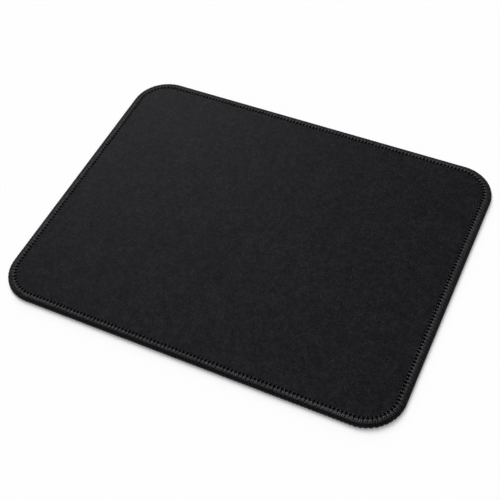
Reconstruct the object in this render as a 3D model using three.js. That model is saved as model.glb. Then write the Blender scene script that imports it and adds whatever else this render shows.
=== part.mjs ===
// A cloth mouse pad with an overlocked edge: three sheets bonded face to face, squeezed along their rim
// and bound there by three threads. Millimetres, +Z up. The origin is the middle of the underside.
import * as THREE from "three";

// Driving dimensions of the pad
const padWidth = 260; // over the stitching, along X
const padDepth = 205; // over the stitching, along Y
const cornerRadius = 24; // of the outermost edge, seen from above
const rubberThickness = 2.45;
const filmThickness = 0.1;
const clothThickness = 0.45;

// Driving dimensions of the seam
const seamWidth = 5.1; // from the outermost edge to the needle line
const stitchPitch = 2.4; // along the needle line, rounded to a whole number of stitches
const looperWidth = 0.8; // looper thread as it lies on the rim
const looperThickness = 0.5;
const needleThreadDiameter = 0.45;
const crestRise = 0.15; // the stitching stands this far above the cloth
const pullWidth = 1.2; // inside the needle line, the sheets thin to the squeezed rim over this width
const rimLean = 0.8; // the rim's upper corner stands this much further in than its lower one
const rimRounding = 0.5; // of the rim's upper corner

// Clearances
const threadClearance = 0.06; // from a thread to the sheet beside it, and to the desk
const threadGap = 0.15; // between two threads

const cornerSteps = 10; // flat facets round each corner of a sheet
const needleThreadSides = 6;

// Levels of the surfaces, from the desk up
const padTop = rubberThickness + filmThickness + clothThickness;
const rimTop = padTop + crestRise - looperThickness - threadClearance;
const rimBottom = looperThickness + 2 * threadClearance;
const furrowFloor = padTop - needleThreadDiameter - threadClearance;
const furrowHalf = needleThreadDiameter / 2 + threadClearance;

const clothFinish = new THREE.MeshStandardMaterial({ color: 0x252527, roughness: 0.95, metalness: 0 });
const filmFinish = new THREE.MeshStandardMaterial({ color: 0x8c8a82, roughness: 0.5, metalness: 0 });
const rubberFinish = new THREE.MeshStandardMaterial({ color: 0x1a1a1b, roughness: 0.85, metalness: 0 });
const threadFinish = new THREE.MeshStandardMaterial({ color: 0x363639, roughness: 0.7, metalness: 0 });

// The rounded rectangle that lies a distance inside the outermost edge, anticlockwise from above.
function outline(inset) {
  const radius = cornerRadius - inset;
  const x = padWidth / 2 - cornerRadius;
  const y = padDepth / 2 - cornerRadius;
  const path = new THREE.Path();
  path.absarc(x, y, radius, 0, Math.PI / 2);
  path.absarc(-x, y, radius, Math.PI / 2, Math.PI);
  path.absarc(-x, -y, radius, Math.PI, 1.5 * Math.PI);
  path.absarc(x, -y, radius, 1.5 * Math.PI, 2 * Math.PI);
  path.closePath();
  return path;
}

// One level ring of points on the outline. Rings of any inset have their points side by side.
function ring([inset, level]) {
  const points = outline(inset).getPoints(cornerSteps / 2); // an arc takes two steps for each division
  points.pop(); // the last point closes the path on the first
  return points.map((point) => new THREE.Vector3(point.x, point.y, level));
}

// Triangles between each loop of points and the next, with all loops the same length.
function skin(loops, joinLastToFirst) {
  const size = loops[0].length;
  const faces = [];
  const bands = joinLastToFirst ? loops.length : loops.length - 1;
  for (let band = 0; band < bands; band += 1) {
    const lower = band * size;
    const upper = ((band + 1) % loops.length) * size;
    for (let i = 0; i < size; i += 1) {
      const next = (i + 1) % size;
      faces.push(lower + i, lower + next, upper + i);
      faces.push(lower + next, upper + next, upper + i);
    }
  }
  return faces;
}

function geometryOf(points, faces) {
  const geometry = new THREE.BufferGeometry().setFromPoints(points);
  geometry.setIndex(faces);
  geometry.computeVertexNormals();
  return geometry;
}

// A sheet through level rings, from the flat field of its underside, round the rim, to that of its face.
function sheetGeometry(profile) {
  const rings = profile.map(ring);
  const faces = skin(rings, false);
  const size = rings[0].length;
  const lastRing = (rings.length - 1) * size;
  const capOf = (points) => THREE.ShapeUtils.triangulateShape(points, []);
  capOf(rings[0]).forEach(([a, b, c]) => faces.push(c, b, a));
  capOf(rings.at(-1)).forEach(([a, b, c]) => faces.push(lastRing + a, lastRing + b, lastRing + c));
  return geometryOf(rings.flat(), faces);
}

// How far in the trimmed edge of the sheets stands at a level: it leans in towards the top.
function trimmedInset(level) {
  const share = (level - rimBottom) / (rimTop - rimBottom);
  return looperThickness + threadClearance + rimLean * share;
}

// The cloth's face from the flat field out to the trimmed edge, or the surface that lies a depth below it.
function faceProfile(depth) {
  const edgeLevel = rimTop - rimRounding - depth;
  return [
    [seamWidth + furrowHalf + pullWidth, padTop - depth],
    [seamWidth + furrowHalf, furrowFloor - depth],
    [seamWidth - furrowHalf, furrowFloor - depth],
    [seamWidth - 2 * furrowHalf, rimTop - depth],
    [trimmedInset(rimTop) + rimRounding, rimTop - depth],
    [trimmedInset(edgeLevel), edgeLevel],
  ];
}

// The rubber's underside from the flat field out to the trimmed edge: the rim is drawn up, off the desk.
function undersideProfile() {
  return [
    [seamWidth + furrowHalf + pullWidth, 0],
    [seamWidth, rimBottom],
    [trimmedInset(rimBottom), rimBottom],
  ];
}

const clothBack = clothThickness;
const filmBack = clothThickness + filmThickness;
const clothGeometry = sheetGeometry([...faceProfile(clothBack), ...faceProfile(0).reverse()]);
const filmGeometry = sheetGeometry([...faceProfile(filmBack), ...faceProfile(clothBack).reverse()]);
const rubberGeometry = sheetGeometry([...undersideProfile(), ...faceProfile(filmBack).reverse()]);

// The needle line carries a whole number of stitches.
const needleLine = outline(seamWidth);
const needleLength = needleLine.getLength();
const stitchCount = Math.round(needleLength / stitchPitch);
const pitch = needleLength / stitchCount;

// The point at a distance along the needle line, moved square to it to an inset, at a level.
function onRim(along, inset, level) {
  const share = THREE.MathUtils.euclideanModulo(along / needleLength, 1);
  const at = needleLine.getPoint(share);
  const tangent = needleLine.getTangent(share);
  const out = seamWidth - inset;
  return new THREE.Vector3(at.x + tangent.y * out, at.y - tangent.x * out, level);
}

// A thread that zigzags round the rim without an end. A stitch is a list of three-cornered sections, and
// each corner is [distance along the stitch, inset, level].
function zigzagGeometry(stitch) {
  const sections = [];
  for (let i = 0; i < stitchCount; i += 1) {
    stitch.forEach((section) => {
      sections.push(section.map(([along, inset, level]) => onRim(i * pitch + along, inset, level)));
    });
  }
  return geometryOf(sections.flat(), skin(sections, true));
}

// The upper looper thread: two strands part from each tip beside the needle line, go over the rim and
// down its side, and meet their neighbours in a foot at the lower edge.
function upperLooperStitch() {
  const bed = rimTop + threadClearance;
  const crest = bed + looperThickness;
  const tip = seamWidth - needleThreadDiameter / 2 - threadGap;
  const shoulder = looperThickness + rimLean;
  const parting = (tip + shoulder) / 2;
  const footLevel = rimBottom + threadGap;
  const meetingLevel = (footLevel + bed) / 2;
  const meetingInset = (looperThickness + shoulder) / 2;
  const half = looperWidth / 2;
  const strandOut = pitch / 4;
  const strandBack = pitch - strandOut;
  const shoulderRidge = shoulder - looperThickness / 2;
  return [
    [[0, parting, bed], [0, tip, bed], [0, (tip + parting) / 2, (bed + crest) / 2]],
    [[strandOut - half, shoulder, bed], [strandOut + half, shoulder, bed], [strandOut, shoulderRidge, crest]],
    [
      [pitch / 2, looperThickness, footLevel],
      [pitch / 2, meetingInset, meetingLevel],
      [pitch / 2, 0, (footLevel + meetingLevel) / 2],
    ],
    [[strandBack + half, shoulder, bed], [strandBack - half, shoulder, bed], [strandBack, shoulderRidge, crest]],
  ];
}

// The lower looper thread: a flat zigzag on the underside of the rim, from the needle line to the edge.
function lowerLooperStitch() {
  const bed = rimBottom - threadClearance;
  const ridge = bed - looperThickness;
  const foot = trimmedInset(rimBottom) + threadGap;
  const middle = (seamWidth + foot) / 2;
  return [
    [[0, seamWidth, bed], [0, middle, bed], [0, (seamWidth + middle) / 2, ridge]],
    [[pitch / 2, middle, bed], [pitch / 2, foot, bed], [pitch / 2, (foot + middle) / 2, ridge]],
  ];
}

// The needle thread: a ring that lies in the furrow which it draws in the cloth, level with the face.
function needleThreadGeometry() {
  const radius = needleThreadDiameter / 2;
  const corners = Array.from({ length: needleThreadSides }, (_, i) => (2 * Math.PI * i) / needleThreadSides);
  const rings = corners.map((angle) => {
    const inset = seamWidth - radius * Math.sin(angle);
    return ring([inset, padTop - radius - radius * Math.cos(angle)]);
  });
  return geometryOf(rings.flat(), skin(rings, true));
}

function piece(name, geometry, finish) {
  const mesh = new THREE.Mesh(geometry, finish);
  mesh.name = name;
  return mesh;
}

const mousePad = new THREE.Group();
mousePad.add(piece("cloth_face", clothGeometry, clothFinish));
mousePad.add(piece("bond_film", filmGeometry, filmFinish));
mousePad.add(piece("rubber_base", rubberGeometry, rubberFinish));
mousePad.add(piece("needle_thread", needleThreadGeometry(), threadFinish));
mousePad.add(piece("upper_looper_thread", zigzagGeometry(upperLooperStitch()), threadFinish));
mousePad.add(piece("lower_looper_thread", zigzagGeometry(lowerLooperStitch()), threadFinish));

export default mousePad;
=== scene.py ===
# %% [markdown]
# # A cloth mouse pad with a stitched edge
# The pad is three sheets bonded face to face: a woven cloth, a film of adhesive and a base of foamed rubber.
# An overlock machine has trimmed the rim and bound it with three threads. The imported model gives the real
# sizes, and each piece is made here again, finer, as a surface worked out with numpy.

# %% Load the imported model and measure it
import math

import bpy
import numpy as np
from mathutils import Matrix, Vector


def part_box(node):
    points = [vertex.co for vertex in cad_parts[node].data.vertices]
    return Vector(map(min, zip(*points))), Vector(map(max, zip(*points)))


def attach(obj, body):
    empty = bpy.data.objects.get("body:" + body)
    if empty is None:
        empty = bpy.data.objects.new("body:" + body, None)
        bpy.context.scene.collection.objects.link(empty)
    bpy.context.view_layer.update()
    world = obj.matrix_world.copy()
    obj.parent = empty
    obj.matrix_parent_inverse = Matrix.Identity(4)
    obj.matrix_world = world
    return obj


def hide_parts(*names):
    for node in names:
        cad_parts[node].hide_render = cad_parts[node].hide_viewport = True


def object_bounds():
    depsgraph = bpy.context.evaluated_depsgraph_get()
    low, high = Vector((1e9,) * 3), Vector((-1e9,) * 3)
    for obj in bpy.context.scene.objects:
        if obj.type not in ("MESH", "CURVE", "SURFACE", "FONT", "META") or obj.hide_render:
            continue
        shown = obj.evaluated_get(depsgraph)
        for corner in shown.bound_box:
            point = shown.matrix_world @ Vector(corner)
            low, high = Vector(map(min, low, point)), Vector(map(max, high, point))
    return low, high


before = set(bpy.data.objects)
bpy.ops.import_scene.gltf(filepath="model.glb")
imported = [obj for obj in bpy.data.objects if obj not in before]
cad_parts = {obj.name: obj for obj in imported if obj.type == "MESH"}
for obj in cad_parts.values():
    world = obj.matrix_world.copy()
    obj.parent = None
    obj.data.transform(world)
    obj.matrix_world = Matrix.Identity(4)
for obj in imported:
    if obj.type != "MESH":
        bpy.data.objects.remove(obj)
cad_low, cad_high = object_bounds()
mm = 0.001
pad_width, pad_depth, pad_height = cad_high - cad_low
cloth_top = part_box("cloth_face")[1].z
print(f"pad {pad_width / mm:.1f} x {pad_depth / mm:.1f} x {pad_height / mm:.2f} mm")
print(f"cloth face at {cloth_top / mm:.2f} mm")

# %% [markdown]
# ## The camera
# The view was fitted to the outline of the pad, so it is given as a photographer would note it: which way
# the camera looks, how far it stands from a point on the desk, and its lens. The roll tips the camera
# sideways.

# %% Place the camera
view_azimuth = math.radians(29.388)
view_elevation = math.radians(52.004)
view_roll = math.radians(-5.417)
view_distance = 611.27 * mm
view_target = Vector((3.764, -13.34, 0)) * mm
lens_millimetres = 70.254

camera_data = bpy.data.cameras.new("view")
camera_data.lens = lens_millimetres
camera_data.sensor_width = 36
camera_data.clip_start = 0.01
camera = bpy.data.objects.new("view", camera_data)
bpy.context.scene.collection.objects.link(camera)
level_right = Vector((math.cos(view_azimuth), math.sin(view_azimuth), 0))
away = Vector((math.sin(view_azimuth), -math.cos(view_azimuth), 0)) * math.cos(view_elevation)
away.z = math.sin(view_elevation)
level_up = away.cross(level_right)
right = level_right * math.cos(view_roll) + level_up * math.sin(view_roll)
axes = Matrix((right, away.cross(right), away)).transposed()
camera.matrix_world = Matrix.Translation(view_target + away * view_distance) @ axes.to_4x4()
bpy.context.scene.camera = camera
print(f"camera {view_distance / mm:.0f} mm from the pad, lens {lens_millimetres:.1f} mm")

# %% [markdown]
# ## Round the rim
# Everything at the edge repeats along the needle line, a rounded rectangle a seam's width inside the edge.
# A curve object could hold that line, but each stitch needs its place from a distance along it, so it is a
# formula here.

# %% The needle line
corner_radius = 24 * mm
seam_width = 5.1 * mm
turn_radius = corner_radius - seam_width
half_x = pad_width / 2 - corner_radius
half_y = pad_depth / 2 - corner_radius
quarter_arc = turn_radius * math.pi / 2
run_lengths = np.array([quarter_arc, 2 * half_x, quarter_arc, 2 * half_y] * 2)
run_ends = np.cumsum(run_lengths)
needle_length = run_ends[-1]
stitch_length = 2.4 * mm
stitch_count = round(needle_length / stitch_length)
pitch = needle_length / stitch_count


def rim_place(along):
    """Where a distance along the needle line falls: its corner, the turn so far and the straight run.

    The line is a quarter arc and a straight run, four times over, so the run is found by its end.
    """
    along = np.mod(along, needle_length)
    run = np.minimum(np.searchsorted(run_ends, along, side="right"), len(run_ends) - 1)
    into = along - (run_ends - run_lengths)[run]
    corner = run // 2
    on_arc = run % 2 == 0
    turn = corner * math.pi / 2 + np.where(on_arc, into / turn_radius, math.pi / 2)
    return corner, turn, np.where(on_arc, 0, into)


print(f"needle line {needle_length / mm:.1f} mm, {stitch_count} stitches of {pitch / mm:.3f} mm")

# %% [markdown]
# ### Points on the rim
# A point of the rim has three numbers: how far along the needle line it is, how far in from the outermost
# edge, and its level. This step turns whole arrays of them into places. The seam strays a little on the
# way round, because hands guide the pad through the machine.

# %% Points on the rim
near_middle = run_ends[5] - half_x
wander_reach = 0.17 * mm


def round_trip(along):
    """The angle of a trip round the needle line, which starts in the middle of the near side."""
    return 2 * math.pi * (along - near_middle) / needle_length


def wander(along, inset):
    """How far the seam strays inwards: least on the near side, most on the right and left.

    Along the rim it is two cosines. Across it is a squared sine, full at the needle line and none at the
    outermost edge.
    """
    turn = round_trip(along)
    across = np.sin(math.pi / 2 * np.clip(inset / seam_width, 0, 2)) ** 2
    return -wander_reach * (np.cos(turn) + np.cos(2 * turn)) * across


def on_rim(along, inset, level):
    """Points at a distance along the needle line, an inset from the outermost edge, and a level.

    From the centre of the corner's arc, go out by the corner radius less the inset, then on along the run.
    """
    along, inset, level = np.broadcast_arrays(along, inset, level)
    inset = inset + wander(along, inset)
    corner, turn, straight = rim_place(along)
    centre_x = half_x * np.array([1, -1, -1, 1])[corner]
    centre_y = half_y * np.array([1, 1, -1, -1])[corner]
    reach = corner_radius - inset
    x = centre_x + reach * np.cos(turn) - straight * np.sin(turn)
    y = centre_y + reach * np.sin(turn) + straight * np.cos(turn)
    return np.stack([x, y, level], axis=-1)


print("first stitch tip in mm:", np.round(on_rim(0, seam_width, cloth_top) / mm, 2))

# %% [markdown]
# ## The section of the rim
# Thread tension squeezes the rim to a rounded roll. Its outside is one curve, from the needle line on the
# face, over the crest, down the side and back underneath: a straight run, a quarter of a superellipse, a
# short side, a quarter circle and a straight run. A bevel could give the circle but not the superellipse.

# %% The curve that the threads lie on
thread_thickness = 0.5 * mm
bed_top = pad_height - thread_thickness
bed_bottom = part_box("lower_looper_thread")[1].z
bed_gap = 0.03 * mm
bed_inset = thread_thickness + bed_gap
roll_width = 3.3 * mm
roll_drop = 1.45 * mm
roll_fullness = 2.1
lower_round = 0.35 * mm
furrow_dip = 0.15 * mm
furrow_reach = 0.7 * mm


def rim_section(steps):
    """Insets and levels down the rim's outside, in five stretches of steps points each.

    The roll is a superellipse: cos and sin of the turn, each to the power two over the fullness.
    """
    share = np.linspace(0, 1, steps)
    turn = share * math.pi / 2
    power = 2 / roll_fullness
    roll_start = bed_inset + roll_width
    side_top = bed_top - roll_drop
    side_bottom = bed_bottom + lower_round
    inset = np.concatenate([
        seam_width + (roll_start - seam_width) * share,
        roll_start - roll_width * np.sin(turn) ** power,
        np.full(steps, bed_inset),
        bed_inset + lower_round * (1 - np.cos(turn)),
        bed_inset + lower_round + (seam_width - bed_inset - lower_round) * share,
    ])
    level = np.concatenate([
        bed_top - furrow_dip * np.exp(-((share * (seam_width - roll_start) / furrow_reach) ** 2)),
        side_top + roll_drop * np.cos(turn) ** power,
        side_top + (side_bottom - side_top) * share,
        side_bottom - lower_round * np.sin(turn),
        np.full(steps, bed_bottom),
    ])
    return inset, level


stretch_points = 120
least_step = 1e-9
section_inset, section_level = rim_section(stretch_points)
section_step = np.hypot(np.diff(section_inset), np.diff(section_level))
keep = np.concatenate([[True], section_step > least_step])
section_inset, section_level = section_inset[keep], section_level[keep]
section_over = np.concatenate([[0], np.cumsum(np.hypot(np.diff(section_inset), np.diff(section_level)))])
slope_out = -np.gradient(section_inset, section_over)
slope_up = np.gradient(section_level, section_over)
print(f"rim section {section_over[-1] / mm:.2f} mm round, crest at {section_level.max() / mm:.2f} mm")

# %% [markdown]
# ### Places on the curve
# The threads lie on the curve, so a place on a thread is a distance over it and a lift off it. The lift
# goes along the curve's normal.

# %% Stand off the curve


def bed(over):
    """Inset, level, and the outward and upward parts of the normal, at a distance over the rim.

    The normal is the curve's direction turned a quarter turn towards the outside.
    """
    inset = np.interp(over, section_over, section_inset)
    level = np.interp(over, section_over, section_level)
    normal_out = -np.interp(over, section_over, slope_up)
    normal_up = np.interp(over, section_over, slope_out)
    size = np.hypot(normal_out, normal_up)
    return inset, level, normal_out / size, normal_up / size


def over_bed(along, over, lift):
    """Points that stand a lift off the rim's surface, and the surface's normals there."""
    inset, level, normal_out, normal_up = bed(over)
    points = on_rim(along, inset - normal_out * lift, level + normal_up * lift)
    turn = rim_place(along)[1]
    normals = np.stack([normal_out * np.cos(turn), normal_out * np.sin(turn), normal_up], axis=-1)
    return points, normals


def over_at_level(level):
    """The distance over the rim at which its side passes a level."""
    side = slice(np.argmax(section_level), np.argmin(section_level))
    return float(np.interp(-level, -section_level[side], section_over[side]))


print(f"half way up the side is {over_at_level(pad_height / 2) / mm:.2f} mm over the rim")

# %% [markdown]
# ## From arrays to pieces
# A mesh needs a list of points and a list of faces. Grids give both: rows of points, and a quad between each
# four neighbours. Where a fine row meets a coarse one, a fan of triangles joins them.

# %% Faces between rows


def grid_quads(first, rows, columns, join_rows=False):
    """Quads between each row of points and the next, closed round the columns."""
    row = np.arange(rows if join_rows else rows - 1)[:, None]
    column = np.arange(columns)[None, :]
    next_row = (row + 1) % rows
    next_column = (column + 1) % columns
    corners = [
        row * columns + column,
        row * columns + next_column,
        next_row * columns + next_column,
        next_row * columns + column,
    ]
    return first + np.stack(np.broadcast_arrays(*corners), axis=-1).reshape(-1, 4)


def fan_triangles(fine_first, fine_count, coarse_first, coarse_count):
    """Triangles from a fine closed row to a coarse one: each fine edge looks to the nearer coarse point."""
    ratio = fine_count // coarse_count
    edge = np.arange(fine_count)
    nearer = ((edge + ratio // 2) // ratio) % coarse_count
    next_edge = (edge + 1) % fine_count
    fine = np.stack([fine_first + edge, fine_first + next_edge, coarse_first + nearer], axis=-1)
    coarse = np.arange(coarse_count)
    middle = (coarse * ratio + ratio // 2) % fine_count
    beyond = (coarse + 1) % coarse_count
    wide = np.stack([fine_first + middle, coarse_first + beyond, coarse_first + coarse], axis=-1)
    return np.concatenate([fine, wide])


def pole_triangles(first, count, pole):
    """Triangles from a closed row of points to one point in the middle."""
    column = np.arange(count)
    return np.stack([first + column, first + (column + 1) % count, np.full(count, pole)], axis=-1)


print("quads round 2 rows of 3 points:", grid_quads(0, 2, 3).tolist())

# %% [markdown]
# ### From lists to a piece
# Blender takes whole arrays at once, far quicker than point by point. The volume of a closed mesh is a
# good test: it comes out negative if the faces look inwards, and then they are turned over.

# %% Turn arrays into a piece


def signed_volume(points, faces):
    """A sixth of each triangle's triple product, summed: the first corner times the cross of the others."""
    total = 0.0
    for group in faces:
        first = points[group[:, 0]]
        for corner in range(1, group.shape[1] - 1):
            second = points[group[:, corner]]
            third = points[group[:, corner + 1]]
            total += np.einsum("ij,ij->", first, np.cross(second, third)) / 6
    return total


def add_piece(name, points, faces):
    """A mesh object at the origin, from points and groups of faces, each group of triangles or of quads."""
    if signed_volume(points, faces) < 0:
        faces = [group[:, ::-1] for group in faces]
    corners = np.concatenate([group.ravel() for group in faces]).astype(np.int32)
    sizes = np.concatenate([np.full(len(group), group.shape[1]) for group in faces])
    mesh = bpy.data.meshes.new(name)
    mesh.vertices.add(len(points))
    mesh.vertices.foreach_set("co", points.astype(np.float32).ravel())
    mesh.loops.add(len(corners))
    mesh.loops.foreach_set("vertex_index", corners)
    mesh.polygons.add(len(sizes))
    mesh.polygons.foreach_set("loop_start", (np.cumsum(sizes) - sizes).astype(np.int32))
    mesh.update(calc_edges=True)
    mesh.validate()
    mesh.shade_smooth()
    piece = bpy.data.objects.new(name, mesh)
    bpy.context.scene.collection.objects.link(piece)
    volume = abs(signed_volume(points, faces)) / mm**3
    triangles = int((sizes - 2).sum())
    print(f"{name}: {triangles} triangles, {volume:.0f} cubic mm")
    return piece


unit_points = np.array([(0, 0, 0), (1, 0, 0), (0, 1, 0), (0, 0, 1)])
unit_faces = np.array([(0, 2, 1), (0, 1, 3), (0, 3, 2), (1, 2, 3)])
print(f"volume under the corner of a cube: {signed_volume(unit_points, [unit_faces]):.3f}")

# %% [markdown]
# ## The cloth face
# The cloth lies flat over the field, dips into a furrow along the needle line, and goes over the rim to its
# trimmed edge. Between the stitches it is drawn down into small pockets. A sculpted plane would have to be
# fitted to the rim by hand, so the face is rings of points instead: fine ones at the seam, then coarse ones,
# which shrink to the middle. First come the levels of the cloth beside the seam.

# %% The levels of the cloth
slope_width = 0.7 * mm
scallop = 0.6 * mm
pocket_depth = 0.22 * mm
pocket_length = 0.85 * mm
pocket_shift = 0.25 * mm
pocket_opens = 0.1875
pocket_full = 0.8125
furrow_floor = float(section_level[0])


def smooth(share):
    """The step that rises from 0 to 1 with no corner: three times the square less twice the cube."""
    share = np.clip(share, 0, 1)
    return share * share * (3 - 2 * share)


def between_stitches(along):
    """1 halfway between two stitch tips, where the needle goes down, and 0 at a tip: a raised cosine."""
    return 0.5 - 0.5 * np.cos(2 * math.pi * along / pitch)


def pocket(along, inset):
    """How much of the full pocket there is: a flat bell across the seam, times a smooth step along it."""
    across = np.exp(-(((inset - seam_width + pocket_shift) / pocket_length) ** 4))
    lengthwise = smooth((between_stitches(along) - pocket_opens) / (pocket_full - pocket_opens))
    return lengthwise * across


def field_level(along, inset):
    """The cloth inside the needle line: the furrow's floor, then a smooth rise whose start is scalloped."""
    start = seam_width + scallop * (between_stitches(along) - 0.5)
    rise = smooth((inset - start) / slope_width)
    return furrow_floor + (cloth_top - furrow_floor) * rise


print(f"furrow floor at {furrow_floor / mm:.2f} mm, pockets {pocket_depth / mm:.2f} mm deep")

# %% [markdown]
# ### Rings of the cloth
# A ring has one point for each step along the needle line. The rings by the seam follow the section of the
# rim and then the furrow. The rings of the field keep the rounded outline at first and then shrink about
# the middle, so that no ring folds over itself at the corners.

# %% Rings by the seam and on the field
cloth_end = over_at_level(1.7 * mm)
field_inset = 8.0 * mm
follow_inset = 16 * mm
follow_steps = 4


def seam_rows(along, depth, rim_steps, inner_insets, pocket_share):
    """Rings from the trimmed edge in to the field, a depth below the cloth's face."""
    over = np.linspace(cloth_end, 0, rim_steps)[:, None]
    inset, level, normal_out, normal_up = bed(over)
    drop = pocket_share * pocket_depth * pocket(along[None, :], inset)
    rim = on_rim(along[None, :], inset + normal_out * depth, level - normal_up * depth - drop)
    inset = np.array(inner_insets)[:, None]
    drop = pocket_share * pocket_depth * pocket(along[None, :], inset)
    inner = on_rim(along[None, :], inset, field_level(along[None, :], inset) - depth - drop)
    return np.concatenate([rim, inner])


def field_rows(along, level, rows):
    """Rings that follow the edge in to two thirds of the corner's radius, then shrink towards the middle."""
    following = np.linspace(field_inset, follow_inset, follow_steps + 1)[1:, None]
    near = on_rim(along[None, :], following, level)
    shrink = np.linspace(1, 0, rows + 1)[1:-1, None, None]
    far = near[-1:] * np.array([1, 1, 0]) * shrink
    far[..., 2] = level
    return np.concatenate([near, far])


print(f"cloth trimmed {cloth_end / mm:.2f} mm over the rim")

# %% [markdown]
# ### The cloth's points
# Eight points for each stitch show the pockets, and elsewhere two are enough. So the face is fine by the
# seam and coarse on the field, and the back, which nobody sees, is coarse all over. One point more closes
# each side in the middle. An even grid would need the fine spacing all over.

# %% Lay out the cloth's points
cloth_thickness = 0.45 * mm
fine_per_stitch = 8
coarse_per_stitch = 2
fine_count = fine_per_stitch * stitch_count
coarse_count = coarse_per_stitch * stitch_count
fine_along = np.arange(fine_count) * needle_length / fine_count
coarse_along = np.arange(coarse_count) * needle_length / coarse_count
face_rim_steps = 12
back_rim_steps = 8
field_steps = 24
hidden_steps = 4
inner_steps = seam_width + np.array([0.2, 0.4, 0.6, 0.8, 1.0, 1.2, 1.45, 1.75, 2.2, 3.2]) * mm
back_inner_steps = inner_steps[3::2]
face_rows = seam_rows(fine_along, 0, face_rim_steps, inner_steps, 1)
middle_rows = field_rows(coarse_along, cloth_top, field_steps)
back_rows = seam_rows(coarse_along, cloth_thickness, back_rim_steps, back_inner_steps, 0)
back_field = field_rows(coarse_along, cloth_top - cloth_thickness, hidden_steps)
back_all = np.concatenate([back_rows, back_field])
face_pole = np.array([[[0, 0, cloth_top]]])
back_pole = np.array([[[0, 0, cloth_top - cloth_thickness]]])
blocks = [face_rows, middle_rows, face_pole, back_all, back_pole]
cloth_points = np.concatenate([block.reshape(-1, 3) for block in blocks])
print(f"cloth: {len(cloth_points)} points, {len(face_rows)} fine rings and {len(middle_rows)} coarse ones")

# %% [markdown]
# ### The cloth's faces
# Quads join each ring to the next. A fan of triangles joins fine to coarse, once where the seam meets the
# field and once round the trimmed edge, and triangles to the middle point close each side. The back's
# faces are turned over, so that all of them look outwards.

# %% Join the points into the cloth
starts = np.cumsum([0] + [block.shape[0] * block.shape[1] for block in blocks])
face_first, middle_first, face_pole_first, back_first, back_pole_first = starts[:-1]
face_last = middle_first - fine_count
middle_last = face_pole_first - coarse_count
back_last = back_pole_first - coarse_count
cloth_faces = [
    grid_quads(face_first, len(face_rows), fine_count),
    fan_triangles(face_last, fine_count, middle_first, coarse_count),
    grid_quads(middle_first, len(middle_rows), coarse_count),
    pole_triangles(middle_last, coarse_count, face_pole_first),
    fan_triangles(face_first, fine_count, back_first, coarse_count)[:, ::-1],
    grid_quads(back_first, len(back_all), coarse_count)[:, ::-1],
    pole_triangles(back_last, coarse_count, back_pole_first)[:, ::-1],
]
cloth = add_piece("cloth", cloth_points, cloth_faces)

# %% [markdown]
# ### Painted shade in the seam
# Shade is painted into the cloth's colour in the pockets and under the strands, where little light gets in,
# and the cloth is made duller there too. A mask painted in an image could say where. The rings already know
# their inset, so each point gets a number from it, and the cloth's finish reads that number by its name.

# %% Mark the painted shade on the cloth
thread_reach = 0.4 * mm
painted_pocket_gain = 1.7


def add_values(piece, name, values):
    """A number for each point of a piece, which its material can read by name."""
    attribute = piece.data.attributes.new(name, "FLOAT", "POINT")
    attribute.data.foreach_set("value", values.astype(np.float32).ravel())


rim_insets = bed(np.linspace(cloth_end, 0, face_rim_steps))[0]
row_insets = np.concatenate([rim_insets, inner_steps])[:, None]
# painted shade: the cloth's colour is darkened in the pockets and under the strands, where shade falls
painted_thread_shade = smooth((seam_width - row_insets) / thread_reach)
painted_pocket_shade = painted_pocket_gain * pocket(fine_along[None, :], row_insets)
painted_seam_shade = np.zeros(len(cloth_points))
painted_seam_shade[:middle_first] = np.clip(painted_pocket_shade + painted_thread_shade, 0, 1).ravel()
add_values(cloth, "painted_seam_shade", painted_seam_shade)
print(f"seam shade: {np.count_nonzero(painted_seam_shade)} points are darker")

# %% [markdown]
# ## The film and the rubber base
# The adhesive film is as wide as the cloth and hidden under it. The rubber fills the rest of the section.
# Its underside has shallow wavy ridges, which grip the desk, and its rim is drawn up to make room for the
# thread beneath. Both reuse the cloth's rings, deeper down. The film comes first.

# %% Make the film
film_thickness = 0.1 * mm


def layer_rows(depth):
    """Coarse rings of the surface that lies a depth below the cloth's face, from its edge to the middle."""
    rows = seam_rows(coarse_along, depth, back_rim_steps, back_inner_steps, 0)
    return np.concatenate([rows, field_rows(coarse_along, cloth_top - depth, hidden_steps)])


def closed_rings(name, rings, first_pole, last_pole):
    """A closed piece from a stack of rings, with a point in the middle at each end."""
    count = rings.shape[1]
    points = np.concatenate([rings.reshape(-1, 3), [first_pole, last_pole]])
    total = len(points)
    faces = [
        grid_quads(0, len(rings), count),
        pole_triangles(0, count, total - 2)[:, ::-1],
        pole_triangles(total - 2 - count, count, total - 1),
    ]
    return add_piece(name, points, faces)


film_back = cloth_thickness + film_thickness
film_rings = np.concatenate([layer_rows(cloth_thickness)[::-1], layer_rows(film_back)])
film_poles = [(0, 0, cloth_top - cloth_thickness), (0, 0, cloth_top - film_back)]
film = closed_rings("film", film_rings, *film_poles)

# %% [markdown]
# ### The base
# The ridges are moulded into the rubber before it is cut. A displacement on a plane would need a plane as
# fine as the ridges all over, so the rings of the underside carry them: their level is a formula of their
# place.

# %% Make the base
ridge_pitch = 6 * mm
ridge_depth = 0.25 * mm
wave_length = 24 * mm
wave_height = 2.5 * mm
side_gap = 0.05 * mm
side_steps = 22
lift_width = 1.5 * mm
lift_steps = 5
underside_steps = 84


def grip_level(x, y):
    """The underside's ridges: a cosine across lines that wave as a sine, with their crests on the desk."""
    line = y + wave_height * np.sin(2 * math.pi * x / wave_length)
    return ridge_depth * (0.5 - 0.5 * np.cos(2 * math.pi * line / ridge_pitch))


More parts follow.
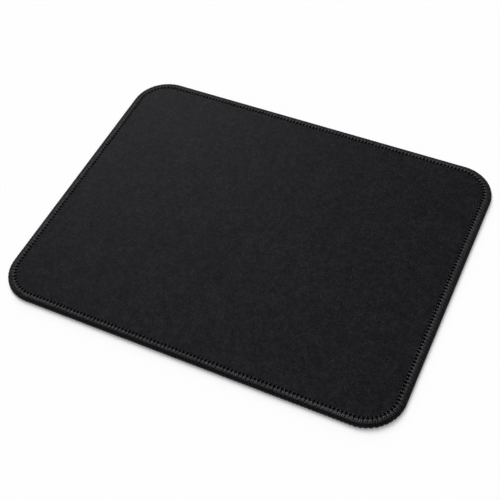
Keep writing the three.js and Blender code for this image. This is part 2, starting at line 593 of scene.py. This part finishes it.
side_over = np.linspace(cloth_end + side_gap, section_over[-1], side_steps)[:, None]
side_inset, side_level = bed(side_over)[:2]
side_rows = on_rim(coarse_along[None, :], side_inset, side_level)
drawn_up = np.linspace(0, 1, lift_steps + 1)[1:, None]
lift_level = bed_bottom * (1 - smooth(drawn_up))
lift_rows = on_rim(coarse_along[None, :], seam_width + lift_width * drawn_up, lift_level)
under_rows = field_rows(coarse_along, 0.0, underside_steps)
under_rows[..., 2] = grip_level(under_rows[..., 0], under_rows[..., 1])
base_rings = np.concatenate([layer_rows(film_back)[::-1], side_rows, lift_rows, under_rows])
base_poles = [(0, 0, cloth_top - film_back), (0, 0, float(grip_level(0, 0)))]
base = closed_rings("base", base_rings, *base_poles)

# %% [markdown]
# ## The threads
# A thread is a flattened section carried along a closed path. The path is given by where it is over the
# rim, so a stitch is a wave between the needle line and the edge. Each ring of the section stands square to
# the path, with its flat side on the rim. A UV map keeps the distance along the thread and the turn round
# it, for the twist in its finish.

# %% A thread along a path


def unit(vectors):
    """The same directions with a length of one."""
    return vectors / np.linalg.norm(vectors, axis=-1, keepdims=True)


def add_thread(name, path, normals, half_width, half_height, sides):
    """A closed tube: at each point of the path, an ellipse in the plane of the side and the normal.

    The forward direction is the difference of the neighbours, and the side is square to it and the normal.
    """
    forward = unit(np.roll(path, -1, axis=0) - np.roll(path, 1, axis=0))
    side = unit(np.cross(forward, normals))
    up = np.cross(side, forward)
    turn = 2 * math.pi * np.arange(sides) / sides
    across = side[:, None] * (half_width[:, None] * np.cos(turn))[..., None]
    above = up[:, None] * (half_height[:, None] * np.sin(turn))[..., None]
    rings = path[:, None] + across + above
    quads = grid_quads(0, len(path), sides, join_rows=True)[:, ::-1]
    piece = add_piece(name, rings.reshape(-1, 3), [quads])
    step = np.linalg.norm(np.roll(path, -1, axis=0) - path, axis=-1)
    start = np.cumsum(step) - step
    here = np.repeat(start, sides)
    ahead = np.repeat(start + step, sides)
    column = np.tile(np.arange(sides), len(path))
    along = np.stack([here, here, ahead, ahead], axis=-1) / mm
    around = np.stack([column, column + 1, column + 1, column], axis=-1) / sides
    uv = np.stack([along, around], axis=-1)[:, ::-1]
    layer = piece.data.uv_layers.new(name="thread")
    layer.data.foreach_set("uv", uv.astype(np.float32).ravel())
    return piece


print("a direction of length one:", unit(np.array([3.0, 0.0, 4.0])))

# %% [markdown]
# ### Tension
# The thread isn't equally tight all round: the stitches are narrow on the near and far sides, and loose
# and flat on the right and left. Small seeded differences from stitch to stitch keep them from looking
# moulded, as copies of one stitch would.

# %% Tension and unevenness
random = np.random.default_rng(11)


def tension(along):
    """How tight the stitches are: 1 on the near side, 0.6 on the far one, and 0 on the right and left.

    It is a constant and two cosines of the trip round the needle line.
    """
    turn = round_trip(along)
    return 0.4 + 0.2 * np.cos(turn) + 0.4 * np.cos(2 * turn)


def stitch_noise(spread, stitches):
    """A random number for each tip and foot, within twice the spread, joined by straight lines."""
    values = spread * np.clip(random.normal(0, 1, 2 * stitch_count), -2, 2)
    values = np.append(values, values[0])
    return np.interp(stitches * 2, np.arange(2 * stitch_count + 1), values)


print("tension by quarters:", np.round(tension(near_middle + needle_length * np.arange(4) / 4), 2))

# %% [markdown]
# ### How a stitch is laid
# An overlock stitch is a loop that runs from a tip at the needle line over the rim to a foot at the edge,
# and back. Laid out flat it is a plain wave, which both looper threads can use.

# %% Lay out the stitches
neck_length = 0.5 * mm
spread_by = 1.65 * mm
tight_narrowing = 0.2
spread_noise = 0.06
tip_crowding = 1.4
beside_share = 0.28
beside_length = 0.4 * mm
foot_turn = 0.5 * mm


def spreading(over):
    """How far the strands have parted: none along the neck by the tip, then a smooth step up to 1."""
    return smooth((over - neck_length) / (spread_by - neck_length))


def stitch_wave(foot, straight_steps, turn_steps):
    """All stitches laid out flat: the count of stitches so far, the way along, and the way from tip to foot.

    The two strands of a stitch leave the tip one over the other, part to a quarter pitch on each side, or
    less where the thread is tight, go straight on, and turn round the foot in half an ellipse. The strand
    back is the mirror image. The steps are a power of their share, so that they crowd at the tip.
    """
    stitch = np.arange(stitch_count)[:, None]
    full_spread = 1 - tight_narrowing * tension(stitch * pitch) + stitch_noise(spread_noise, stitch)
    straight = (foot - foot_turn) * np.linspace(0, 1, straight_steps, endpoint=False) ** tip_crowding
    turn = np.linspace(0, math.pi / 2, turn_steps, endpoint=False)
    beside = beside_share * smooth(straight / beside_length)
    aside = beside + (full_spread - beside) * spreading(straight)
    round_foot = full_spread + (2 - full_spread) * (1 - np.cos(turn))
    out_over = np.concatenate([straight, foot - foot_turn + foot_turn * np.sin(turn)])
    out_along = pitch / 4 * np.concatenate([aside, round_foot], axis=1)
    over = np.concatenate([out_over, [foot], out_over[:0:-1]])
    middle = np.full((stitch_count, 1), pitch / 2)
    along = np.concatenate([out_along, middle, pitch - out_along[:, :0:-1]], axis=1)
    so_far = stitch + np.arange(len(over)) / len(over)
    return so_far.ravel(), (stitch * pitch + along).ravel(), np.tile(over, stitch_count)


print("strands parted at 0.5, 1 and 1.5 mm:", np.round(spreading(np.array([0.5, 1, 1.5]) * mm), 2))

# %% [markdown]
# ### The upper looper thread
# Each stitch throws two strands from its tip over the rim and down the side. The tips are pulled narrow and
# deep, and the strands spread as they leave them, so that dark gaps show between the tips and none show
# lower down. All of them lean the same way, because the machine feeds the pad on while it sews. A curve
# with a bevel has one section all along, so the tube is made by rings instead, each with its own width and
# height.

# %% Make the upper looper thread
upper_foot = over_at_level(1.05 * mm)
lean = 1.2 * mm
lean_start = 2.0 * mm
tip_half_width = 0.34 * mm
tip_half_height = 0.28 * mm
loose_widening = 0.38 * mm
tight_widening = 0.22 * mm
flattening = 0.02 * mm
strand_difference = 0.05
strand_step = 0.03 * mm
tip_pull = 0.2 * mm
tip_pull_reach = 0.8 * mm
seat_share = 0.85
along_noise = 0.09 * mm
foot_noise = 0.1 * mm
width_noise = 0.08
looper_sides = 8
upper_so_far, upper_along, upper_over = stitch_wave(upper_foot, straight_steps=12, turn_steps=4)
upper_along = upper_along - lean * smooth((upper_over - lean_start) / (upper_foot - lean_start))
upper_along = upper_along + stitch_noise(along_noise, upper_so_far)
upper_over = upper_over + np.abs(stitch_noise(foot_noise, upper_so_far))
spread = spreading(upper_over)
first_strand = np.sin(2 * math.pi * upper_so_far)
widening = loose_widening + (tight_widening - loose_widening) * tension(upper_along)
strand_size = 1 - strand_difference * first_strand
uneven_size = strand_size + stitch_noise(width_noise, upper_so_far)
upper_width = (tip_half_width + widening * spread) * uneven_size
upper_height = (tip_half_height - flattening * spread) * strand_size
sunk = strand_step * first_strand + tip_pull * (1 - smooth(upper_over / tip_pull_reach))
upper_path, upper_normals = over_bed(upper_along, upper_over, seat_share * upper_height - sunk)
upper_shape = upper_path, upper_normals, upper_width, upper_height
upper_thread = add_thread("upper_thread", *upper_shape, looper_sides)

# %% [markdown]
# ### The lower looper thread
# This thread does the same on the underside, and leans the same way. At the edge its feet come up round the
# lower corner and hook over the feet of the upper thread, which makes a small ridge along the side. It
# reuses the layout of the stitches, counted from the needle line underneath.

# %% Make the lower looper thread
lower_tip = section_over[-1]
lower_foot = lower_tip - over_at_level(1.5 * mm)
lower_half_width = 0.27 * mm
lower_half_height = 0.19 * mm
lower_widening = 0.15 * mm
hook_lift = 0.15 * mm
hook_start = 1.2 * mm
hook_length = 0.6 * mm
lower_noise = 0.05 * mm
lower_so_far, lower_along, lower_over = stitch_wave(lower_foot, straight_steps=9, turn_steps=4)
lower_along = lower_along - lean * smooth(lower_over / lower_foot)
lower_along = lower_along + stitch_noise(lower_noise, lower_so_far)
lower_over = lower_over + np.abs(stitch_noise(lower_noise, lower_so_far))
lower_width = lower_half_width + lower_widening * spreading(lower_over)
lower_height = np.full(len(lower_over), lower_half_height)
hook = hook_lift * smooth((lower_over - lower_foot + hook_start) / hook_length)
lower_lift = seat_share * lower_height + hook
lower_path, lower_normals = over_bed(lower_along, lower_tip - lower_over, lower_lift)
lower_shape = lower_path, lower_normals, lower_width, lower_height
lower_thread = add_thread("lower_thread", *lower_shape, looper_sides)

# %% [markdown]
# ### The needle thread
# The needle thread runs along the needle line. It lies flat over each tip of the looper thread, dives
# through the needle hole beside it and goes on underneath. One tube can do both: its level is a smooth bump
# over each tip, less a dip at each hole, whose fourth power keeps the hole small.

# %% Make the needle thread
needle_steps = 20
needle_thickness = 0.36 * mm
needle_flatness = 1.9
bump_height = 0.36 * mm
hole_depth = 0.9 * mm
bump_middle = 0.3
bump_swing = 1.1
hole_inset = 0.02 * mm
bump_inset = 0.15 * mm
needle_sides = 12
needle_stitches = np.arange(needle_steps * stitch_count) / needle_steps
needle_along = needle_stitches * pitch
over_tip = smooth(bump_middle + bump_swing * np.cos(2 * math.pi * needle_stitches))
needle_rise = bump_height * over_tip - hole_depth * (1 - over_tip) ** 4
needle_level = furrow_floor + needle_thickness / 2 + needle_rise
needle_inset = seam_width + hole_inset + bump_inset * over_tip
needle_path = on_rim(needle_along, needle_inset, needle_level)
needle_up = np.broadcast_to(np.array([0.0, 0.0, 1.0]), needle_path.shape)
needle_height = np.full(len(needle_path), needle_thickness / 2)
needle_width = needle_flatness * needle_height
needle_shape = needle_path, needle_up, needle_width, needle_height
needle_thread = add_thread("needle_row", *needle_shape, needle_sides)

# %% [markdown]
# ## Finishes
# A finish is a small tree of nodes. In the shader editor it would be drawn as boxes and wires. These
# helpers do the same in a line each: join sockets, add a node, and reckon with two values.

# %% Helpers for nodes


def join(tree, *pairs):
    """Links each output to its input."""
    for output, target in pairs:
        tree.links.new(output, target)


def node(tree, kind, **settings):
    """A node with its settings."""
    made = tree.nodes.new(kind)
    for name, value in settings.items():
        setattr(made, name, value)
    return made


def math_node(tree, operation, first, second):
    """A math node on two numbers or sockets, such as a product or a sine."""
    made = node(tree, "ShaderNodeMath", operation=operation)
    for target, value in zip(made.inputs, (first, second)):
        if isinstance(value, (int, float)):
            target.default_value = value
        else:
            tree.links.new(value, target)
    return made.outputs[0]


print("node helpers:", join.__name__, node.__name__, math_node.__name__)

# %% [markdown]
# ### A grain that all finishes share
# All the finishes share one effect: a fine grain that darkens and lightens the colour and roughens the
# surface. It is a node group, so that each material places it with its own scale and strength.

# %% Make the shared grain


def socket(group, name, kind, way, value=None):
    """A named input or output of a node group."""
    made = group.interface.new_socket(name=name, in_out=way, socket_type=kind)
    if value is not None:
        made.default_value = value


def grain_group():
    """Noise in several sizes added up. Shade swings about 1 by the amount, and Height is the plain noise."""
    darkest = 0.1
    group = bpy.data.node_groups.new("fibre_grain", "ShaderNodeTree")
    socket(group, "Vector", "NodeSocketVector", "INPUT")
    socket(group, "Scale", "NodeSocketFloat", "INPUT", 1000)
    socket(group, "Amount", "NodeSocketFloat", "INPUT", 0.3)
    socket(group, "Shade", "NodeSocketFloat", "OUTPUT")
    socket(group, "Height", "NodeSocketFloat", "OUTPUT")
    inside = node(group, "NodeGroupInput")
    outside = node(group, "NodeGroupOutput")
    noise = node(group, "ShaderNodeTexNoise", noise_dimensions="3D")
    noise.inputs["Detail"].default_value = 4
    noise.inputs["Roughness"].default_value = 0.75
    join(group, (inside.outputs["Vector"], noise.inputs["Vector"]))
    join(group, (inside.outputs["Scale"], noise.inputs["Scale"]))
    centred = math_node(group, "SUBTRACT", noise.outputs["Fac"], 0.5)
    swing = math_node(group, "MULTIPLY", centred, inside.outputs["Amount"])
    shade = math_node(group, "MAXIMUM", math_node(group, "ADD", swing, 1.0), darkest)
    join(group, (shade, outside.inputs["Shade"]), (noise.outputs["Fac"], outside.inputs["Height"]))
    return group


grain = grain_group()
print("grain group:", [item.name for item in grain.interface.items_tree])

# %% [markdown]
# ### What each finish starts from
# Every finish is one Principled shader. What is the same all over a piece, such as gloss and sheen, is a
# plain number on it. What changes over the piece, such as colour and height, comes through nodes.

# %% Start a finish
cool_gleam = (0.91, 0.91, 1, 1)
sheen_spread = 0.5


def start_finish(name, gloss, roughness, sheen=0.0):
    """A material with a Principled shader, and the numbers that are the same all over it."""
    material = bpy.data.materials.new(name)
    material.use_nodes = True
    shader = material.node_tree.nodes["Principled BSDF"]
    shader.inputs["Specular IOR Level"].default_value = gloss
    shader.inputs["Specular Tint"].default_value = cool_gleam
    shader.inputs["Roughness"].default_value = roughness
    shader.inputs["Sheen Weight"].default_value = sheen
    shader.inputs["Sheen Roughness"].default_value = sheen_spread
    return material, material.node_tree, shader


def place_grain(tree, vector, scale, amount):
    """The shared grain on some coordinates, with this finish's own scale and strength."""
    made = node(tree, "ShaderNodeGroup", node_tree=grain)
    made.inputs["Scale"].default_value = scale
    made.inputs["Amount"].default_value = amount
    tree.links.new(vector, made.inputs["Vector"])
    return made


def shaded(tree, colour, shade):
    """A colour times a number."""
    mix = node(tree, "ShaderNodeVectorMath", operation="SCALE")
    mix.inputs[0].default_value = colour
    tree.links.new(shade, mix.inputs["Scale"])
    return mix.outputs[0]


def bumped(tree, shader, height, strength, distance):
    """A height that tips the shader's normals."""
    bump = node(tree, "ShaderNodeBump")
    bump.inputs["Strength"].default_value = strength
    bump.inputs["Distance"].default_value = distance
    join(tree, (height, bump.inputs["Height"]), (bump.outputs["Normal"], shader.inputs["Normal"]))


print("gleam of all finishes:", cool_gleam)

# %% [markdown]
# ### The cloth's finish
# The cloth is a plain weave of fine polyester, brushed a little, so it is black with a grey mottle in three
# sizes. Its weave is a product of two sines on the pad's own axes, because warp and weft cross at right
# angles. The pockets of the seam get painted shade in their colour and are duller, by the number kept on the
# cloth's points.

# %% Make the cloth's finish
yarn_pitch = 0.42 * mm
weave_share = 0.25
cloth_black = (0.0092, 0.0092, 0.0103)
cloth_roughness = 0.36
painted_pocket_darkening = 0.6
pocket_dulling = 0.3


def cloth_finish():
    """Plain weave, mottled black, with painted shade in the pockets of the seam, and duller there."""
    material, tree, shader = start_finish("black_cloth", gloss=0.0112, roughness=cloth_roughness, sheen=0.02)
    place = node(tree, "ShaderNodeTexCoord").outputs["Object"]
    split = node(tree, "ShaderNodeSeparateXYZ")
    tree.links.new(place, split.inputs[0])
    yarn = 2 * math.pi / yarn_pitch
    warp = math_node(tree, "SINE", math_node(tree, "MULTIPLY", split.outputs["X"], yarn), 0)
    weft = math_node(tree, "SINE", math_node(tree, "MULTIPLY", split.outputs["Y"], yarn), 0)
    weave = math_node(tree, "MULTIPLY", warp, weft)
    fine = place_grain(tree, place, scale=2100, amount=11.3)
    patches = place_grain(tree, place, scale=270, amount=2.2)
    broad = place_grain(tree, place, scale=60, amount=0.85)
    painted_shade_mask = node(tree, "ShaderNodeAttribute", attribute_name="painted_seam_shade")
    # painted shade: the seam mask darkens the cloth's colour in the pockets and under the strands
    painted_darkening = math_node(tree, "MULTIPLY", painted_shade_mask.outputs["Fac"], painted_pocket_darkening)
    shade = math_node(tree, "MULTIPLY", fine.outputs["Shade"], patches.outputs["Shade"])
    shade = math_node(tree, "MULTIPLY", shade, broad.outputs["Shade"])
    shade = math_node(tree, "MULTIPLY", shade, math_node(tree, "SUBTRACT", 1.0, painted_darkening))
    tree.links.new(shaded(tree, cloth_black, shade), shader.inputs["Base Color"])
    height = math_node(tree, "ADD", math_node(tree, "MULTIPLY", weave, weave_share), fine.outputs["Height"])
    bumped(tree, shader, height, strength=0.35, distance=0.06 * mm)
    dulling = math_node(tree, "MULTIPLY", painted_shade_mask.outputs["Fac"], pocket_dulling)
    tree.links.new(math_node(tree, "ADD", dulling, cloth_roughness), shader.inputs["Roughness"])
    return material


black_cloth = cloth_finish()
print(f"{black_cloth.name}: {len(black_cloth.node_tree.nodes)} nodes")

# %% [markdown]
# ### The thread's finish
# The thread is twisted from many plies, which show as stripes that wind round its UV map: a bump, and
# painted shade that darkens the grooves between them. It gleams where it is seen from above, and its fuzz
# makes it dull where it is seen edge on: the Layer Weight node gives that, and it drives the roughness.

# %% Make the thread's finish
plies_round = 16
turns_per_millimetre = 0.12
groove_shade_middle = 0.95
groove_shade_swing = 0.16
ply_height = 0.5
fibres_along = 0.8
fibres_round = 9
thread_black = (0.0048, 0.0048, 0.0054)
smoothest = 0.25
edge_fuzz = 2.05


def thread_finish():
    """Plies that wind round the thread with painted shade in their grooves, and loose fibres along it,
    duller where it is seen edge on.
    """
    material, tree, shader = start_finish("black_thread", gloss=0.275, roughness=smoothest, sheen=0.02)
    place = node(tree, "ShaderNodeUVMap", uv_map="thread").outputs[0]
    split = node(tree, "ShaderNodeSeparateXYZ")
    tree.links.new(place, split.inputs[0])
    twist = math_node(tree, "MULTIPLY", split.outputs["X"], turns_per_millimetre)
    wound = math_node(tree, "ADD", twist, split.outputs["Y"])
    plies = math_node(tree, "SINE", math_node(tree, "MULTIPLY", wound, plies_round * 2 * math.pi), 0)
    stretch = node(tree, "ShaderNodeCombineXYZ")
    join(tree, (math_node(tree, "MULTIPLY", split.outputs["X"], fibres_along), stretch.inputs[0]))
    join(tree, (math_node(tree, "MULTIPLY", split.outputs["Y"], fibres_round), stretch.inputs[1]))
    fibres = place_grain(tree, stretch.outputs[0], scale=2.2, amount=0.9)
    # painted shade: the colour is darker in the grooves between the plies, where the bump is low
    painted_groove_shade = math_node(tree, "ADD", math_node(tree, "MULTIPLY", plies, groove_shade_swing), groove_shade_middle)
    shade = math_node(tree, "MULTIPLY", painted_groove_shade, fibres.outputs["Shade"])
    tree.links.new(shaded(tree, thread_black, shade), shader.inputs["Base Color"])
    height = math_node(tree, "ADD", math_node(tree, "MULTIPLY", plies, ply_height), fibres.outputs["Height"])
    bumped(tree, shader, height, strength=0.25, distance=0.06 * mm)
    facing = node(tree, "ShaderNodeLayerWeight").outputs["Facing"]
    fuzz = math_node(tree, "MAXIMUM", math_node(tree, "MULTIPLY", facing, edge_fuzz), smoothest)
    tree.links.new(fuzz, shader.inputs["Roughness"])
    return material


black_thread = thread_finish()
print(f"{black_thread.name}: {len(black_thread.node_tree.nodes)} nodes")

# %% [markdown]
# ### The rubber's and the film's finishes
# Foamed rubber is full of closed cells, and with age it blooms to grey in patches: both are the shared
# grain, at two scales. The film only shows when the pad is taken apart, and is a plain cloudy grey.

# %% Make the rubber's and the film's finishes
rubber_black = (0.012, 0.012, 0.012)
film_grey = (0.1, 0.1, 0.09)


def rubber_finish():
    """Black foamed rubber: closed cells as fine grain, and a faint bloom in patches."""
    material, tree, shader = start_finish("black_foam_rubber", gloss=0.15, roughness=0.8)
    place = node(tree, "ShaderNodeTexCoord").outputs["Object"]
    cells = place_grain(tree, place, scale=2200, amount=0.5)
    bloom = place_grain(tree, place, scale=35, amount=0.5)
    shade = math_node(tree, "MULTIPLY", cells.outputs["Shade"], bloom.outputs["Shade"])
    tree.links.new(shaded(tree, rubber_black, shade), shader.inputs["Base Color"])
    bumped(tree, shader, cells.outputs["Height"], strength=0.4, distance=0.05 * mm)
    return material


def film_finish():
    """Grey hot-melt film, cloudy where it was pressed."""
    material, tree, shader = start_finish("hot_melt_film", gloss=0.4, roughness=0.5)
    place = node(tree, "ShaderNodeTexCoord").outputs["Object"]
    cloud = place_grain(tree, place, scale=400, amount=0.4)
    tree.links.new(shaded(tree, film_grey, cloud.outputs["Shade"]), shader.inputs["Base Color"])
    bumped(tree, shader, cloud.outputs["Height"], strength=0.2, distance=0.03 * mm)
    return material


finishes = {
    cloth: black_cloth,
    film: film_finish(),
    base: rubber_finish(),
    upper_thread: black_thread,
    lower_thread: black_thread,
    needle_thread: black_thread,
}
for piece, finish in finishes.items():
    piece.data.materials.append(finish)
print("finishes:", sorted({finish.name for finish in finishes.values()}))

# %% [markdown]
# ## Hand the pieces to the frame
# Each piece rides the one body of the pad and takes the place of its plain solid, which is hidden.

# %% Ride and replace
stands_for = {
    cloth: ("cloth_face", "cloth"),
    film: ("bond_film", "adhesive_film"),
    base: ("rubber_base", "foam_rubber"),
    needle_thread: ("needle_thread", "thread"),
    upper_thread: ("upper_looper_thread", "thread"),
    lower_thread: ("lower_looper_thread", "thread"),
}
for piece, (solid, slot_name) in stands_for.items():
    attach(piece, "root")
    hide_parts(solid)

# %% [markdown]
# ## The floor
# The pad lies on a white floor, as in a product picture. Part of the floor's white is a glow that only the
# camera and reflections see, so that the ground is white and no more light falls on the pad. The rest is
# plain matt white, which keeps the pad's shadow.

# %% Make the floor
floor_half = 60.0
floor_mesh = bpy.data.meshes.new("floor")
floor_corners = np.array([(-1, -1, 0), (1, -1, 0), (1, 1, 0), (-1, 1, 0)]) * floor_half
floor_mesh.from_pydata(floor_corners.tolist(), [], [(0, 1, 2, 3)])
floor = bpy.data.objects.new("floor", floor_mesh)
bpy.context.scene.collection.objects.link(floor)


def seen_rays(tree):
    """1 on rays from the camera, from mirrors and through glass, and 0 on the rays that light things."""
    path = node(tree, "ShaderNodeLightPath")
    seen = math_node(tree, "MAXIMUM", path.outputs["Is Camera Ray"], path.outputs["Is Glossy Ray"])
    return math_node(tree, "MAXIMUM", seen, path.outputs["Is Transmission Ray"])


seen_white = 0.99
floor_white = 0.735
floor_finish = bpy.data.materials.new("white_floor")
floor_finish.use_nodes = True
floor_tree = floor_finish.node_tree
floor_tree.nodes.clear()
matt = node(floor_tree, "ShaderNodeBsdfDiffuse")
matt.inputs["Color"].default_value = (floor_white, floor_white, floor_white, 1)
glow = node(floor_tree, "ShaderNodeEmission")
glow_strength = math_node(floor_tree, "MULTIPLY", seen_rays(floor_tree), seen_white - floor_white)
both = node(floor_tree, "ShaderNodeAddShader")
floor_output = node(floor_tree, "ShaderNodeOutputMaterial")
join(
    floor_tree,
    (glow_strength, glow.inputs["Strength"]),
    (matt.outputs[0], both.inputs[0]),
    (glow.outputs[0], both.inputs[1]),
    (both.outputs[0], floor_output.inputs["Surface"]),
)
floor_mesh.materials.append(floor_finish)
print(f"floor {2 * floor_half:.0f} m wide, {floor_white:.2f} of its white is matt")

# %% [markdown]
# ## The light
# Three distant lamps stand one above another behind the pad on the left, as the light of a tall window
# would come, and a dim even sky fills the rest. So the crests of the stitches gleam, and the near and right
# sides are in shade. The light of all on level ground adds up to one, so that a colour comes out as it is
# written.

# %% Make the sky and the lamps
sky_level = 0.1
low_level = 0.1
high_level = 0.315
key_level = 1 - sky_level - low_level - high_level
lamp_angle = 29
sky = bpy.data.worlds.new("sky")
bpy.context.scene.world = sky
sky.use_nodes = True
background = sky.node_tree.nodes["Background"]
background.inputs["Color"].default_value = (1, 1, 1, 1)
background.inputs["Strength"].default_value = sky_level


def add_lamp(name, azimuth, elevation, angle, level):
    """A distant lamp, by where it stands and how wide it looks in degrees, and its light on level ground."""
    lamp_data = bpy.data.lights.new(name, "SUN")
    lamp_data.angle = math.radians(angle)
    lamp_data.energy = level * math.pi / math.sin(math.radians(elevation))
    lamp = bpy.data.objects.new(name, lamp_data)
    bpy.context.scene.collection.objects.link(lamp)
    turned = math.radians(azimuth)
    towards = Vector((math.cos(turned), math.sin(turned), math.tan(math.radians(elevation))))
    lamp.matrix_world = towards.to_track_quat("Z", "Y").to_matrix().to_4x4()


add_lamp("low_lamp", azimuth=121, elevation=23, angle=lamp_angle, level=low_level)
add_lamp("key_lamp", azimuth=130, elevation=39, angle=lamp_angle, level=key_level)
add_lamp("high_lamp", azimuth=123, elevation=69, angle=lamp_angle, level=high_level)

bpy.context.scene.view_settings.view_transform = "Standard"
print(f"light on level ground: low {low_level}, key {key_level:.3f}, high {high_level}, sky {sky_level}")
